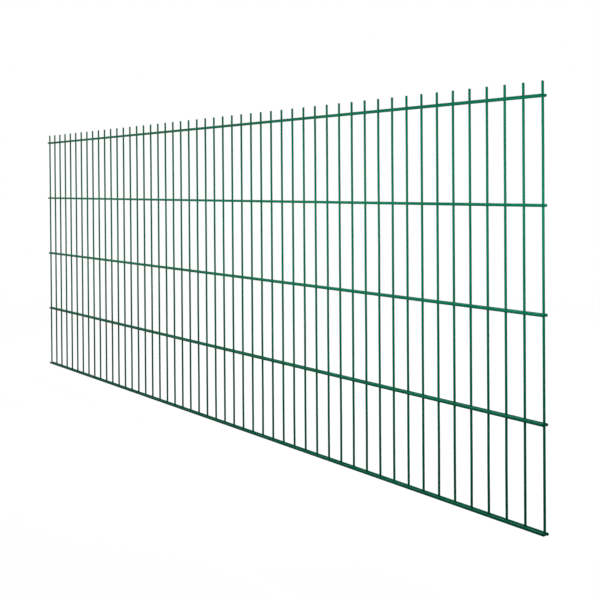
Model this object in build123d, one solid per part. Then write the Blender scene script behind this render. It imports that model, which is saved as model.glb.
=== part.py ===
from build123d import *
import os

# The mesh, from centre line to centre line of its outer wires
mesh_length = 2500
mesh_height = 800

# Nearest distances between the centre lines of neighbouring wires
upright_pitch = 50
row_pitch = 200

# Wire gauges, across the flats of each bar
rod_diameter = 6
upright_diameter = 5
bar_sides = 8

# How deep each weld sets a rod into the upright that it crosses
weld_depth = 0.5

# Wire ends, from the centre line of the last wire that they cross
rod_overhang = 3
spike_height = 27
foot_length = 3

# Neighbouring uprights that share a node
uprights_per_node = 3

# The origin is on the rear flat of the bottom rear rod, at the left end upright.
# X runs along the panel, Y points out of its back, and Z is up.
meshes_along = round(mesh_length / upright_pitch)
meshes_up = round(mesh_height / row_pitch)
upright_spacing = mesh_length / meshes_along
row_spacing = mesh_height / meshes_up
upright_count = meshes_along + 1
row_count = meshes_up + 1
rod_length = mesh_length + 2 * rod_overhang
upright_length = foot_length + mesh_height + spike_height

# Each rod stands off the uprights' centre line by the two half gauges less the weld.
rod_standoff = rod_diameter / 2 + upright_diameter / 2 - weld_depth
rear_rod_y = -rod_diameter / 2
upright_y = rear_rod_y - rod_standoff
front_rod_y = upright_y - rod_standoff


def bar(diameter, length, plane):
    """A straight bar drawn out from a plane, with flats square to the plane's two axes."""
    half_a_side = 180 / bar_sides
    section = RegularPolygon(diameter / 2, bar_sides, major_radius=False, rotation=half_a_side)
    return extrude(plane * section, length)


def rod(centre_y, row):
    """One full-length horizontal rod of a row."""
    place = Pos(-rod_overhang, centre_y, row * row_spacing)
    return place * bar(rod_diameter, rod_length, Plane.YZ)


def seated_upright(rods):
    """The left end upright, with a seat pressed into it by every rod that crosses it."""
    wire = Pos(0, upright_y, -foot_length) * bar(upright_diameter, upright_length, Plane.XY)
    for crossing_rod in rods:
        wire = wire - crossing_rod
    return wire


def upright_nodes(first_upright):
    """All uprights, copied along the mesh from the first and gathered a few to a node."""
    nodes = {}
    for start in range(0, upright_count, uprights_per_node):
        stop = min(start + uprights_per_node, upright_count)
        wires = [Pos(number * upright_spacing, 0, 0) * first_upright for number in range(start, stop)]
        nodes[f"uprights_{start + 1:02d}_to_{stop:02d}"] = wires
    return nodes


def write_node(name, solids):
    """Writes the solids of one node to its own file."""
    export_step(Compound(children=solids), f"parts/{name}.step")


front_rods = [rod(front_rod_y, row) for row in range(row_count)]
rear_rods = [rod(rear_rod_y, row) for row in range(row_count)]
first_upright = seated_upright(front_rods + rear_rods)

os.makedirs("parts", exist_ok=True)
for number, front_rod in enumerate(front_rods, start=1):
    write_node(f"front_rod_{number}", [front_rod])
for number, rear_rod in enumerate(rear_rods, start=1):
    write_node(f"rear_rod_{number}", [rear_rod])
for name, wires in upright_nodes(first_upright).items():
    write_node(name, wires)
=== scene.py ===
import logging
import math
import random
from collections.abc import Callable, Iterator
from contextlib import contextmanager
from dataclasses import dataclass
from enum import Enum

import bmesh
import bpy
from mathutils import Matrix, Vector


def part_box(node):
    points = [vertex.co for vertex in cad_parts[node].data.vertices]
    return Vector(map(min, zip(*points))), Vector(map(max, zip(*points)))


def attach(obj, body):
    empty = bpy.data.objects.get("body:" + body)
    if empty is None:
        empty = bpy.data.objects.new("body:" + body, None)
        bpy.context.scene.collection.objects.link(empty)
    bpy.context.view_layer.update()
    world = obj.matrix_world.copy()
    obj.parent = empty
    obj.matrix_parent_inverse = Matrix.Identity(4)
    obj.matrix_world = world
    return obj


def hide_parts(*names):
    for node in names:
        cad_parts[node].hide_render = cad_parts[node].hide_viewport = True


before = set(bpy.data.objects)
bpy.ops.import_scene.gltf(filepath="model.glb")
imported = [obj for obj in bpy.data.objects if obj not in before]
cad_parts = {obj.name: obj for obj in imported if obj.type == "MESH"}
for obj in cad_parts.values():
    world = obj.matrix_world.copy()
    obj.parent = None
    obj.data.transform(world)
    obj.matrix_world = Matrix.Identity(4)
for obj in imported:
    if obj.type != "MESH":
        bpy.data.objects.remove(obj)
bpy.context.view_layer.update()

log = logging.getLogger("fence_panel")

MM = 0.001
BODY = "root"

# Points closer than TOUCHING are at one place, and what lies within NEAR belongs together.
TOUCHING = 0.01 * MM
NEAR = 1.0 * MM

# The least cosine between a direction and the normal of a face that looks that way.
FACING = 0.999

# Faces that meet at less than this are shaded as one surface.
SMOOTH_BELOW = math.radians(50)

# The curve of screen colours: a straight foot, then a power of the value and an offset.
FOOT_END, FOOT_SLOPE = 0.04045, 12.92
CURVE_OFFSET, CURVE_POWER = 0.055, 2.4


def linear(red: int, green: int, blue: int) -> tuple[float, float, float, float]:
    """A colour given as it looks on a screen, from 0 to 255, as the shader's own numbers.

    Args:
        red: the red part.
        green: the green part.
        blue: the blue part.

    Returns:
        The same colour in linear light, with an alpha of 1.
    """
    parts = []
    for part in (red, green, blue):
        share = part / 255
        if share <= FOOT_END:
            parts.append(share / FOOT_SLOPE)
        else:
            parts.append(((share + CURVE_OFFSET) / (1 + CURVE_OFFSET)) ** CURVE_POWER)
    return (*parts, 1.0)


def map_range(
    tree: bpy.types.NodeTree,
    value: bpy.types.NodeSocket,
    start: tuple[float, float],
    end: tuple[float, float] = (0.0, 1.0),
) -> bpy.types.Node:
    """Adds a node that carries a value from one range to another.

    Args:
        tree: the nodes of a material or of the world.
        value: where the value comes from.
        start: the range that it has.
        end: the range that it gets.

    Returns:
        The node, whose output is named Result.
    """
    node = tree.nodes.new("ShaderNodeMapRange")
    node.inputs["From Min"].default_value, node.inputs["From Max"].default_value = start
    node.inputs["To Min"].default_value, node.inputs["To Max"].default_value = end
    tree.links.new(value, node.inputs["Value"])
    return node


def take(piece: bpy.types.Object) -> None:
    """Makes a piece the only one that is selected, and the active one.

    Args:
        piece: the piece to work on next.
    """
    bpy.ops.object.select_all(action="DESELECT")
    piece.select_set(True)
    bpy.context.view_layer.objects.active = piece


@contextmanager
def editing(piece: bpy.types.Object) -> Iterator[None]:
    """Edit mode on one piece alone, with nothing selected in it.

    Args:
        piece: the mesh object to edit.

    Yields:
        Nothing, while the piece is in edit mode.
    """
    take(piece)
    bpy.ops.object.mode_set(mode="EDIT")
    bpy.ops.mesh.select_all(action="DESELECT")
    yield
    bpy.ops.object.mode_set(mode="OBJECT")


def select_points(piece: bpy.types.Object, wanted: Callable[[Vector], bool]) -> None:
    """Selects the points of a piece in edit mode by their place.

    Args:
        piece: the mesh object in edit mode.
        wanted: says of a place whether a point there is selected.
    """
    bpy.ops.mesh.select_mode(type="VERT")
    bpy.ops.mesh.select_all(action="DESELECT")
    mesh = bmesh.from_edit_mesh(piece.data)
    for point in mesh.verts:
        point.select_set(wanted(point.co))
    mesh.select_flush_mode()
    bmesh.update_edit_mesh(piece.data)


def select_faces(piece: bpy.types.Object, wanted: Callable[[Vector, Vector], bool]) -> None:
    """Selects the faces of a piece in edit mode by their middle and their normal.

    Args:
        piece: the mesh object in edit mode.
        wanted: says of a face's middle and normal whether it is selected.
    """
    bpy.ops.mesh.select_mode(type="FACE")
    bpy.ops.mesh.select_all(action="DESELECT")
    mesh = bmesh.from_edit_mesh(piece.data)
    for face in mesh.faces:
        face.select_set(wanted(face.calc_center_median(), face.normal))
    mesh.select_flush_mode()
    bmesh.update_edit_mesh(piece.data)


def face_outward(piece: bpy.types.Object) -> None:
    """Turns every face of a piece to look out of it.

    Args:
        piece: the mesh object.
    """
    with editing(piece):
        bpy.ops.mesh.select_all(action="SELECT")
        bpy.ops.mesh.normals_make_consistent(inside=False)


def apply_all(piece: bpy.types.Object) -> None:
    """Applies every modifier of a piece, in order.

    Args:
        piece: the mesh object.
    """
    take(piece)
    for name in [modifier.name for modifier in piece.modifiers]:
        bpy.ops.object.modifier_apply(modifier=name)


def copy_moved(model: bpy.types.Object, name: str, offset: Vector) -> bpy.types.Object:
    """A copy of a finished model with a mesh of its own, put in its place.

    Args:
        model: the piece that was modelled once.
        name: the copy's name.
        offset: how far the copy lies from the model.

    Returns:
        The copy, with its object at the origin and its place in its mesh.
    """
    copy = model.copy()
    copy.data = model.data.copy()
    copy.name = copy.data.name = name
    bpy.context.scene.collection.objects.link(copy)
    copy.location = offset
    take(copy)
    bpy.ops.object.transform_apply(location=True, rotation=False, scale=False)
    return copy


def remove(piece: bpy.types.Object) -> None:
    """Deletes a model whose copies are all made, with its mesh.

    Args:
        piece: the model.
    """
    mesh = piece.data
    bpy.data.objects.remove(piece)
    bpy.data.meshes.remove(mesh)


def repeat(piece: bpy.types.Object, count: int, step: Vector) -> None:
    """Repeats a piece along a line and joins the copies where their edges meet.

    Args:
        piece: the module to repeat.
        count: how many modules there are.
        step: from one module to the next.
    """
    array = piece.modifiers.new("Repeat", "ARRAY")
    array.count = count
    array.use_relative_offset = False
    array.use_constant_offset = True
    array.constant_offset_displace = step
    array.use_merge_vertices = True
    array.merge_threshold = TOUCHING
    apply_all(piece)


def dress(piece: bpy.types.Object, coat: bpy.types.Material, node: str = "") -> None:
    """Gives a finished piece its coat and its place on the panel.

    Args:
        piece: the finished piece.
        coat: its material.
        node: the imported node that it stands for, if it stands for one.
    """
    piece.data.materials.clear()
    piece.data.materials.append(coat)
    take(piece)
    bpy.ops.object.shade_smooth_by_angle(angle=SMOOTH_BELOW)
    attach(piece, BODY)
    if node:
        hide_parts(node)


def press_share(distance: float, reach: float) -> float:
    """How much of a weld's pressure a wire still feels beside the weld.

    Args:
        distance: how far along the wire from the weld's middle.
        reach: where the pressure ends.

    Returns:
        From 1 at the weld to 0 at its reach.
    """
    return 0.5 + 0.5 * math.cos(math.pi * min(abs(distance) / reach, 1.0))


class Side(Enum):
    """The side of the uprights that a rod lies on, with the way along Y that faces out there."""

    FRONT = -1
    REAR = 1

    @property
    def word(self) -> str:
        """The side's word in the names of pieces."""
        return self.name.lower()


@dataclass(frozen=True)
class Layout:
    """Where the panel's wires lie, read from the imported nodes, in metres."""

    rod_radius: float
    upright_radius: float
    rows: tuple[float, ...]
    columns: tuple[float, ...]
    upright_nodes: tuple[str, ...]
    rod_y: dict[Side, float]
    upright_y: float
    low: Vector
    high: Vector

    @classmethod
    def from_frame(cls) -> "Layout":
        """Reads the wires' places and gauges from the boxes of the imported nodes.

        Returns:
            The layout, with an entry in columns and in upright_nodes for each upright.
        """
        names = sorted(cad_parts)
        boxes = [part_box(name) for name in names]
        rod_boxes = {
            side: [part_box(name) for name in names if name.startswith(f"{side.word}_rod")]
            for side in Side
        }
        first_rod = rod_boxes[Side.FRONT][0]
        columns: list[float] = []
        homes: list[str] = []
        groups = [name for name in names if name.startswith("uprights")]
        for name in groups:
            left, right = (Vector(corner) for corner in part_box(name))
            radius = (right.y - left.y) / 2
            _, first, _, last = name.split("_")
            gaps = int(last) - int(first)
            spacing = (right.x - left.x - 2 * radius) / max(gaps, 1)
            columns += [left.x + radius + number * spacing for number in range(gaps + 1)]
            homes += [name] * (gaps + 1)
        upright_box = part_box(groups[0])
        return cls(
            rod_radius=(first_rod[1][2] - first_rod[0][2]) / 2,
            upright_radius=(upright_box[1][1] - upright_box[0][1]) / 2,
            rows=tuple((box[0][2] + box[1][2]) / 2 for box in rod_boxes[Side.FRONT]),
            columns=tuple(columns),
            upright_nodes=tuple(homes),
            rod_y={side: (rods[0][0][1] + rods[0][1][1]) / 2 for side, rods in rod_boxes.items()},
            upright_y=(upright_box[1][1] + upright_box[0][1]) / 2,
            low=Vector(min(box[0][axis] for box in boxes) for axis in range(3)),
            high=Vector(max(box[1][axis] for box in boxes) for axis in range(3)),
        )

    @property
    def column_spacing(self) -> float:
        """From one upright to the next."""
        return (self.columns[-1] - self.columns[0]) / (len(self.columns) - 1)

    @property
    def row_spacing(self) -> float:
        """From one row of rods to the next."""
        return (self.rows[-1] - self.rows[0]) / (len(self.rows) - 1)


@dataclass(frozen=True)
class Noise:
    """One noise pattern: how many features fit in a metre, and how many finer layers it has."""

    scale: float
    detail: float

    def add(self, tree: bpy.types.NodeTree, place: bpy.types.NodeSocket) -> bpy.types.NodeSocket:
        """Adds the pattern to a material.

        Args:
            tree: the material's nodes.
            place: the coordinates that the pattern follows.

        Returns:
            The pattern's value, from 0 to 1.
        """
        noise = tree.nodes.new("ShaderNodeTexNoise")
        noise.inputs["Scale"].default_value = self.scale
        noise.inputs["Detail"].default_value = self.detail
        tree.links.new(place, noise.inputs["Vector"])
        return noise.outputs["Fac"]


@dataclass(frozen=True)
class PowderCoat:
    """Moss-green polyester powder over galvanised wire, in a satin gloss."""

    name: str = "Moss green powder coat"
    deep: tuple[float, float, float, float] = linear(0, 95, 67)
    pale: tuple[float, float, float, float] = linear(2, 105, 75)
    drift: Noise = Noise(9.0, 2.0)
    mottle: Noise = Noise(260.0, 4.0)
    mottle_share: float = 0.12
    tone_range: tuple[float, float] = (0.35, 0.65)
    gloss_range: tuple[float, float] = (0.3, 0.7)
    gloss_roughness: tuple[float, float] = (0.36, 0.46)
    specular: float = 0.03
    peel: Noise = Noise(700.0, 2.0)
    peel_depth: float = 0.012 * MM

    def material(self) -> bpy.types.Material:
        """Builds the coat's nodes.

        Returns:
            The finished material.
        """
        material = bpy.data.materials.new(self.name)
        material.use_nodes = True
        tree = material.node_tree
        shader = tree.nodes["Principled BSDF"]
        shader.inputs["Specular IOR Level"].default_value = self.specular
        place = tree.nodes.new("ShaderNodeTexCoord").outputs["Object"]
        mottle = self.mottle.add(tree, place)

        both = tree.nodes.new("ShaderNodeMix")
        both.inputs["Factor"].default_value = self.mottle_share
        tree.links.new(self.drift.add(tree, place), both.inputs["A"])
        tree.links.new(mottle, both.inputs["B"])
        tone = map_range(tree, both.outputs["Result"], self.tone_range)
        shade = tree.nodes.new("ShaderNodeMix")
        shade.data_type = "RGBA"
        shade.inputs["A"].default_value = self.deep
        shade.inputs["B"].default_value = self.pale
        tree.links.new(tone.outputs["Result"], shade.inputs["Factor"])
        tree.links.new(shade.outputs["Result"], shader.inputs["Base Color"])

        gloss = map_range(tree, mottle, self.gloss_range, self.gloss_roughness)
        tree.links.new(gloss.outputs["Result"], shader.inputs["Roughness"])

        bump = tree.nodes.new("ShaderNodeBump")
        bump.inputs["Strength"].default_value = 1.0
        bump.inputs["Distance"].default_value = self.peel_depth
        tree.links.new(self.peel.add(tree, place), bump.inputs["Height"])
        tree.links.new(bump.outputs["Normal"], shader.inputs["Normal"])
        return material


@dataclass
class ShearedEnd:
    """The square end that a shear leaves on a wire, rounded over by the coat."""

    rim: float = 0.55 * MM
    rim_steps: int = 3
    land: float = 0.9 * MM
    dome: float = 0.12 * MM

    def cut(self, piece: bpy.types.Object, tip: Vector, outward: Vector) -> None:
        """Cuts a wire off and finishes the cut.

        Args:
            piece: the wire, which still runs on past the cut.
            tip: the furthest point of the finished end, on the wire's middle line.
            outward: along the wire, out of its end.
        """
        plane = tip - outward * self.dome

        def on_cut(middle: Vector, normal: Vector) -> bool:
            """Whether a face with this middle and normal lies on the cut."""
            return normal.dot(outward) > FACING and abs((middle - plane).dot(outward)) < TOUCHING

        with editing(piece):
            bpy.ops.mesh.select_all(action="SELECT")
            bpy.ops.mesh.bisect(plane_co=plane, plane_no=outward, use_fill=True, clear_outer=True)
            bpy.ops.mesh.select_mode(type="EDGE")
            bpy.ops.mesh.bevel(offset=self.rim, segments=self.rim_steps, affect="EDGES")
            select_faces(piece, on_cut)
            bpy.ops.mesh.inset(thickness=self.land)
            bpy.ops.mesh.poke(offset=0.0)
            self._raise_middle(piece, plane, outward)

    def _raise_middle(self, piece: bpy.types.Object, plane: Vector, outward: Vector) -> None:
        """Lifts the cut's inner points so that the coat stands a little proud in the middle.

        Args:
            piece: the wire, in edit mode.
            plane: the middle of the cut.
            outward: along the wire, out of its end.
        """

        def inner(point: Vector) -> bool:
            """Whether a point lies on the cut, inside its land.

            Args:
                point: the place of the point.

            Returns:
                True for a point that is to be lifted.
            """
            along = (point - plane).dot(outward)
            aside = (point - plane - outward * along).length
            return abs(along) < TOUCHING and aside < self.land

        select_points(piece, inner)
        bpy.ops.transform.translate(value=outward * self.dome)


@dataclass
class Wires:
    """What both kinds of wire share: a round section that is pressed a little at each weld."""

    layout: Layout
    end: ShearedEnd
    sides: int
    reach: float
    press: float
    steps: int = 3

    def _tube(
        self,
        radius: float,
        half: float,
        middle: Vector,
        pivot: Vector,
        along: Vector,
        turn: tuple[float, float, float],
        section: Callable[[float], tuple[float, float, float]],
    ) -> bpy.types.Object:
        """A length of wire round one weld, open at both ends.

        Args:
            radius: the wire's radius.
            half: how far the length runs to each side of the weld.
            middle: the weld's place on the wire's middle line.
            pivot: the point beside the weld that stays where it is when the wire is pressed.
            along: the wire's direction.
            turn: how a flat circle is turned to stand square to the wire.
            section: gives the section's scale along X, Y and Z at a distance from the weld.

        Returns:
            The tube.
        """
        near = [self.reach * step / self.steps for step in range(-self.steps, self.steps + 1)]
        stations = [-half, *near, half]
        bpy.ops.mesh.primitive_circle_add(
            vertices=self.sides,
            radius=radius,
            fill_type="NOTHING",
            location=middle + along * stations[0],
            rotation=turn,
        )
        piece = bpy.context.object
        bpy.ops.object.transform_apply(location=True, rotation=True, scale=True)
        scale = (1.0, 1.0, 1.0)
        with editing(piece):
            bpy.ops.mesh.select_all(action="SELECT")
            for before, here in zip(stations, stations[1:]):
                step = along * (here - before)
                bpy.ops.mesh.extrude_region_move(TRANSFORM_OT_translate={"value": step})
                wanted = section(here)
                bpy.ops.transform.resize(
                    value=[new / old for new, old in zip(wanted, scale)],
                    center_override=pivot + along * here,
                )
                scale = wanted
        return piece

    def _cut_to_length(
        self, piece: bpy.types.Object, line: Vector, along: Vector, start: float, stop: float
    ) -> None:
        """Finishes a wire that is still open and too long at both ends.

        Args:
            piece: the wire.
            line: where the wire's middle line crosses zero.
            along: the wire's direction.
            start: where its first end comes along that line.
            stop: where its other end comes.
        """
        face_outward(piece)
        self.end.cut(piece, line + along * start, -along)
        self.end.cut(piece, line + along * stop, along)


@dataclass
class Rods(Wires):
    """The double rods: a pair to a row, each run from end to end of the panel."""

    sides: int = 24
    reach: float = 7.5 * MM
    press: float = 0.22 * MM

    def _section(self, distance: float) -> tuple[float, float, float]:
        """A rod's scale beside a weld, where the welding tip pressed its outer face flatter.

        Args:
            distance: how far along the rod from the weld's middle.

        Returns:
            The scale along X, Y and Z.
        """
        depth = self.press * press_share(distance, self.reach)
        return (1.0, 1 - depth / (2 * self.layout.rod_radius), 1.0)

    def _model(self, side: Side) -> bpy.types.Object:
        """The whole bottom rod of one side.

        Args:
            side: the side of the uprights that the rod lies on.

        Returns:
            The rod, cut to length at both ends.
        """
        radius, spacing = self.layout.rod_radius, self.layout.column_spacing
        along = Vector((1, 0, 0))
        line = Vector((0, self.layout.rod_y[side], self.layout.rows[0]))
        middle = Vector((self.layout.columns[0], line.y, line.z))
        inner_face = Vector((middle.x, middle.y - side.value * radius, middle.z))
        square_to_x = (0, math.pi / 2, 0)
        piece = self._tube(
            radius, spacing / 2, middle, inner_face, along, square_to_x, self._section
        )
        repeat(piece, len(self.layout.columns), along * spacing)
        self._cut_to_length(piece, line, along, self.layout.low.x, self.layout.high.x)
        return piece

    def build(self, coat: bpy.types.Material) -> list[bpy.types.Object]:
        """Makes the rods of both sides.

        Args:
            coat: the finish of the wires.

        Returns:
            The rods, each in its own mesh.
        """
        pieces = []
        for side in Side:
            model = self._model(side)
            for number, height in enumerate(self.layout.rows, start=1):
                lift = Vector((0, 0, height - self.layout.rows[0]))
                piece = copy_moved(model, f"coated_{side.word}_rod_{number}", lift)
                dress(piece, coat, f"{side.word}_rod_{number}")
                pieces.append(piece)
            remove(model)
        return pieces


@dataclass
class Uprights(Wires):
    """The upright wires between the rods, with spikes above the top row."""

    sides: int = 20
    reach: float = 9.0 * MM
    press: float = 0.3 * MM
    widening: float = 0.05 * MM
    bow: float = 0.25 * MM
    lean: float = math.radians(0.45)
    seed: int = 51

    def _section(self, distance: float) -> tuple[float, float, float]:
        """An upright's scale beside a row, where the rods squeezed it thinner and wider.

        Args:
            distance: how far along the upright from the row's middle.

        Returns:
            The scale along X, Y and Z.
        """
        share = press_share(distance, self.reach)
        radius = self.layout.upright_radius
        return (1 + self.widening * share / radius, 1 - self.press * share / (2 * radius), 1.0)

    def _model(self) -> bpy.types.Object:
        """The first upright.

        Returns:
            The upright, cut to length at its foot and its spike.
        """
        spacing = self.layout.row_spacing
        up = Vector((0, 0, 1))
        line = Vector((self.layout.columns[0], self.layout.upright_y, 0))
        middle = Vector((line.x, line.y, self.layout.rows[0]))
        square_to_z = (0, 0, 0)
        piece = self._tube(
            self.layout.upright_radius,
            spacing / 2,
            middle,
            middle,
            up,
            square_to_z,
            self._section,
        )
        repeat(piece, len(self.layout.rows), up * spacing)
        self._cut_to_length(piece, line, up, self.layout.low.z, self.layout.high.z)
        return piece

    def _unevenness(self, piece: bpy.types.Object, column: float, draw: random.Random) -> None:
        """Bows an upright a hair between its rows and leans its spike, as drawn wire comes.

        Args:
            piece: the upright.
            column: its place along the panel.
            draw: where the small amounts come from.
        """
        half = self.layout.row_spacing / 2
        root = self.layout.rows[-1] + self.reach
        with editing(piece):
            for height in self.layout.rows[:-1]:
                select_points(piece, lambda point, level=height + half: abs(point.z - level) < NEAR)
                aside = draw.uniform(-self.bow, self.bow)
                back = draw.uniform(-self.bow, self.bow)
                bpy.ops.transform.translate(value=(aside, back, 0))
            select_points(piece, lambda point: point.z > root + NEAR)
            bpy.ops.transform.rotate(
                value=draw.uniform(-self.lean, self.lean),
                orient_axis=draw.choice("XY"),
                center_override=(column, self.layout.upright_y, root),
            )

    def build(self, coat: bpy.types.Material) -> list[bpy.types.Object]:
        """Makes all uprights.

        Args:
            coat: the finish of the wires.

        Returns:
            The uprights, each in its own mesh.
        """
        draw = random.Random(self.seed)
        model = self._model()
        pieces = []
        columns = zip(self.layout.columns, self.layout.upright_nodes)
        for number, (column, node) in enumerate(columns, start=1):
            offset = Vector((column - self.layout.columns[0], 0, 0))
            piece = copy_moved(model, f"coated_upright_{number:02d}", offset)
            self._unevenness(piece, column, draw)
            dress(piece, coat, node)
            pieces.append(piece)
        remove(model)
        return pieces


@dataclass
class Welds:
    """The little collars of pressed-out metal where the rods meet the uprights."""

    layout: Layout
    half_width: float = 3.15 * MM
    half_height: float = 3.15 * MM
    half_depth: float = 1.3 * MM
    corner: float = 1.2 * MM
    waist: float = 0.75
    unevenness: float = 0.1 * MM

    def _bead(self, side: Side) -> bpy.types.Object:
        """One collar, as a rounded pad that fills the four corners of a crossing.

        Args:
            side: the side of the uprights that the rod lies on.

        Returns:
            The collar at the first upright and the bottom row.
        """
        rod_face = self.layout.rod_y[side] - side.value * self.layout.rod_radius
        upright_face = self.layout.upright_y + side.value * self.layout.upright_radius
        between = (rod_face + upright_face) / 2
        place = Vector((self.layout.columns[0], between, self.layout.rows[0]))
        size = Vector((self.half_width, self.half_depth, self.half_height)) * 2
        bpy.ops.mesh.primitive_cube_add(size=1, location=place, scale=size)
        piece = bpy.context.object
        bpy.ops.object.transform_apply(location=True, rotation=True, scale=True)
        with editing(piece):
            select_faces(piece, lambda middle, normal: abs(normal.y) > FACING)
            bpy.ops.mesh.inset(thickness=self.corner)
            bpy.ops.transform.resize(
                value=(self.waist, 1, self.waist),
                center_override=place,
            )
        rounding = piece.modifiers.new("Rounding", "SUBSURF")
        rounding.levels = rounding.render_levels = 1
        apply_all(piece)
        return piece

    def build(self, coat: bpy.types.Material) -> list[bpy.types.Object]:
        """Makes the welds of every rod.

        Args:
            coat: the finish of the welds.

        Returns:
            One piece for each rod, with a collar for each upright that it crosses.
        """
        pieces = []
        for side in Side:
            model = self._bead(side)
            step = Vector((self.layout.column_spacing, 0, 0))
            repeat(model, len(self.layout.columns), step)
            for number, height in enumerate(self.layout.rows, start=1):
                lift = Vector((0, 0, height - self.layout.rows[0]))
                piece = copy_moved(model, f"{side.word}_welds_{number}", lift)
                with editing(piece):
                    bpy.ops.mesh.select_all(action="SELECT")
                    bpy.ops.transform.vertex_random(
                        offset=self.unevenness, uniform=1.0, normal=0.0, seed=number
                    )
                dress(piece, coat)
                pieces.append(piece)
            remove(model)
        return pieces


@dataclass(frozen=True)
class PhotoCamera:
    """The photograph's viewpoint, in metres and radians."""

    place: tuple[float, float, float] = (4.0232, -1.5118, 0.6393)
    azimuth: float = 0.9998
    elevation: float = 0.0113
    roll: float = -0.0071
    lens: float = 69.14
    rise: float = -0.1691
    sight: float = 60.0

    def build(self) -> None:
        """Makes the camera and looks through it."""
        data = bpy.data.cameras.new("Camera")
        data.lens = self.lens
        data.shift_y = self.rise
        data.clip_end = self.sight
        camera = bpy.data.objects.new("Camera", data)
        bpy.context.scene.collection.objects.link(camera)
        turn = (
            Matrix.Rotation(self.azimuth, 4, "Z")
            @ Matrix.Rotation(math.pi / 2 - self.elevation, 4, "X")
            @ Matrix.Rotation(self.roll, 4, "Z")
        )
        camera.matrix_world = Matrix.Translation(self.place) @ turn
        bpy.context.scene.camera = camera


@dataclass(frozen=True)
class Lamp:
    """One soft light: a rectangle that faces a point of the panel and isn't seen itself."""

    name: str
    place: tuple[float, float, float]
    aim: tuple[float, float, float]
    size: tuple[float, float]
    power: float
    spread: float = math.pi

    def build(self) -> None:
        """Puts the light in the scene."""
        data = bpy.data.lights.new(self.name, "AREA")
        data.shape = "RECTANGLE"
        data.size, data.size_y = self.size
        data.energy = self.power
        data.spread = self.spread
        lamp = bpy.data.objects.new(self.name, data)
        bpy.context.scene.collection.objects.link(lamp)
        lamp.location = self.place
        direction = Vector(self.aim) - Vector(self.place)
        lamp.rotation_euler = direction.to_track_quat("-Z", "Y").to_euler()
        lamp.visible_camera = False


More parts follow.
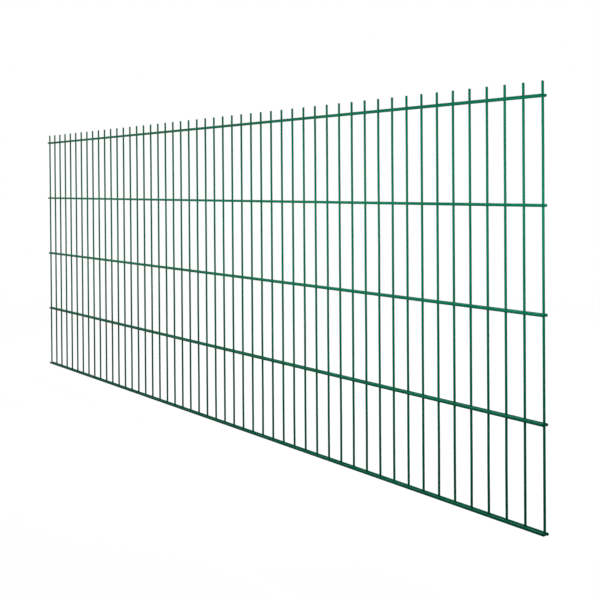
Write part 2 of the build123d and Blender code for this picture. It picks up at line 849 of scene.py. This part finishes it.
@dataclass
class Studio:
    """A plain pale floor under the hung panel, a white surround and soft light."""

    layout: Layout
    clearance: float = 50 * MM
    floor_size: float = 12.0
    shadow_reach: tuple[float, float] = (2.0, 4.5)
    fill: float = 0.13
    floor_tone: float = 0.08
    floor_glow: float = 0.955
    lamps: tuple[Lamp, ...] = (
        Lamp("Overhead", (1.25, 0.9, 2.9), (1.25, 0.0, 0.4), (4.0, 0.4), 30.0),
        Lamp("Key", (2.7, -0.5, 0.65), (2.3, 0.0, 0.65), (1.4, 0.3), 5.5, math.radians(130)),
        Lamp("Front", (1.1, -0.5, 0.6), (1.1, 0.0, 0.6), (2.2, 0.3), 3.9, math.radians(120)),
        Lamp("Back", (1.25, 2.4, 2.0), (1.25, 0.0, 0.4), (4.0, 0.8), 75.0),
    )

    @property
    def floor_middle(self) -> Vector:
        """The point of the floor under the middle of the panel."""
        middle = (self.layout.low + self.layout.high) / 2
        return Vector((middle.x, middle.y, self.layout.low.z - self.clearance))

    def _shown_white(self, tree: bpy.types.NodeTree) -> bpy.types.NodeSocket:
        """Adds nodes that tell rays that show the background itself from all others.

        Args:
            tree: the nodes of a material or of the world.

        Returns:
            The value, 1 for a ray of the camera, of gloss or through glass, and 0 for others.
        """
        path = tree.nodes.new("ShaderNodeLightPath")
        shown = path.outputs["Is Camera Ray"]
        for ray in ("Is Glossy Ray", "Is Transmission Ray"):
            either = tree.nodes.new("ShaderNodeMath")
            either.operation = "MAXIMUM"
            tree.links.new(shown, either.inputs[0])
            tree.links.new(path.outputs[ray], either.inputs[1])
            shown = either.outputs["Value"]
        return shown

    def _surround(self) -> None:
        """The world: white to the eye, and a soft fill on the object."""
        world = bpy.data.worlds.new("Surround")
        world.use_nodes = True
        bpy.context.scene.world = world
        tree = world.node_tree
        strength = map_range(tree, self._shown_white(tree), (0.0, 1.0), (self.fill, 1.0))
        background = tree.nodes["Background"]
        background.inputs["Color"].default_value = (1, 1, 1, 1)
        tree.links.new(strength.outputs["Result"], background.inputs["Strength"])

    def _floor_finish(self) -> bpy.types.Material:
        """White where it is looked at, and quiet in the light that it returns.

        Returns:
            The material. Near the panel it still takes the panel's shadow, and further off it
            fades into the surround.
        """
        material = bpy.data.materials.new("Floor")
        material.use_nodes = True
        tree = material.node_tree
        tree.nodes.remove(tree.nodes["Principled BSDF"])
        tone = tree.nodes.new("ShaderNodeBsdfDiffuse")
        tone.inputs["Color"].default_value = (self.floor_tone,) * 3 + (1,)
        glow = tree.nodes.new("ShaderNodeEmission")
        glow.inputs["Strength"].default_value = self.floor_glow
        near = tree.nodes.new("ShaderNodeAddShader")
        tree.links.new(tone.outputs["BSDF"], near.inputs[0])
        tree.links.new(glow.outputs["Emission"], near.inputs[1])
        far = tree.nodes.new("ShaderNodeEmission")

        place = tree.nodes.new("ShaderNodeTexCoord")
        distance = tree.nodes.new("ShaderNodeVectorMath")
        distance.operation = "DISTANCE"
        distance.inputs[1].default_value = self.floor_middle
        tree.links.new(place.outputs["Object"], distance.inputs[0])
        fade = map_range(tree, distance.outputs["Value"], self.shadow_reach)
        fade.interpolation_type = "SMOOTHSTEP"
        shown = tree.nodes.new("ShaderNodeMixShader")
        tree.links.new(fade.outputs["Result"], shown.inputs["Fac"])
        tree.links.new(near.outputs["Shader"], shown.inputs[1])
        tree.links.new(far.outputs["Emission"], shown.inputs[2])

        surface = tree.nodes.new("ShaderNodeMixShader")
        tree.links.new(self._shown_white(tree), surface.inputs["Fac"])
        tree.links.new(tone.outputs["BSDF"], surface.inputs[1])
        tree.links.new(shown.outputs["Shader"], surface.inputs[2])
        tree.links.new(surface.outputs["Shader"], tree.nodes["Material Output"].inputs["Surface"])
        return material

    def build(self) -> None:
        """Makes the floor, the surround and the lamps."""
        bpy.ops.object.select_all(action="DESELECT")
        bpy.ops.mesh.primitive_plane_add(size=self.floor_size, location=self.floor_middle)
        floor = bpy.context.object
        floor.name = "Floor"
        bpy.ops.object.transform_apply(location=True, rotation=True, scale=True)
        floor.data.materials.append(self._floor_finish())
        self._surround()
        for lamp in self.lamps:
            lamp.build()


def main() -> None:
    """Builds the panel, piece by piece, and the studio round it."""
    logging.basicConfig(level=logging.INFO, format="%(name)s: %(message)s")
    bpy.context.scene.view_settings.view_transform = "Standard"
    layout = Layout.from_frame()
    coat = PowderCoat().material()
    end = ShearedEnd()
    PhotoCamera().build()
    for part in (Rods(layout, end), Uprights(layout, end), Welds(layout)):
        for piece in part.build(coat):
            log.info("%s: %d faces", piece.name, len(piece.data.polygons))
    Studio(layout).build()


if __name__ == "__main__":
    main()
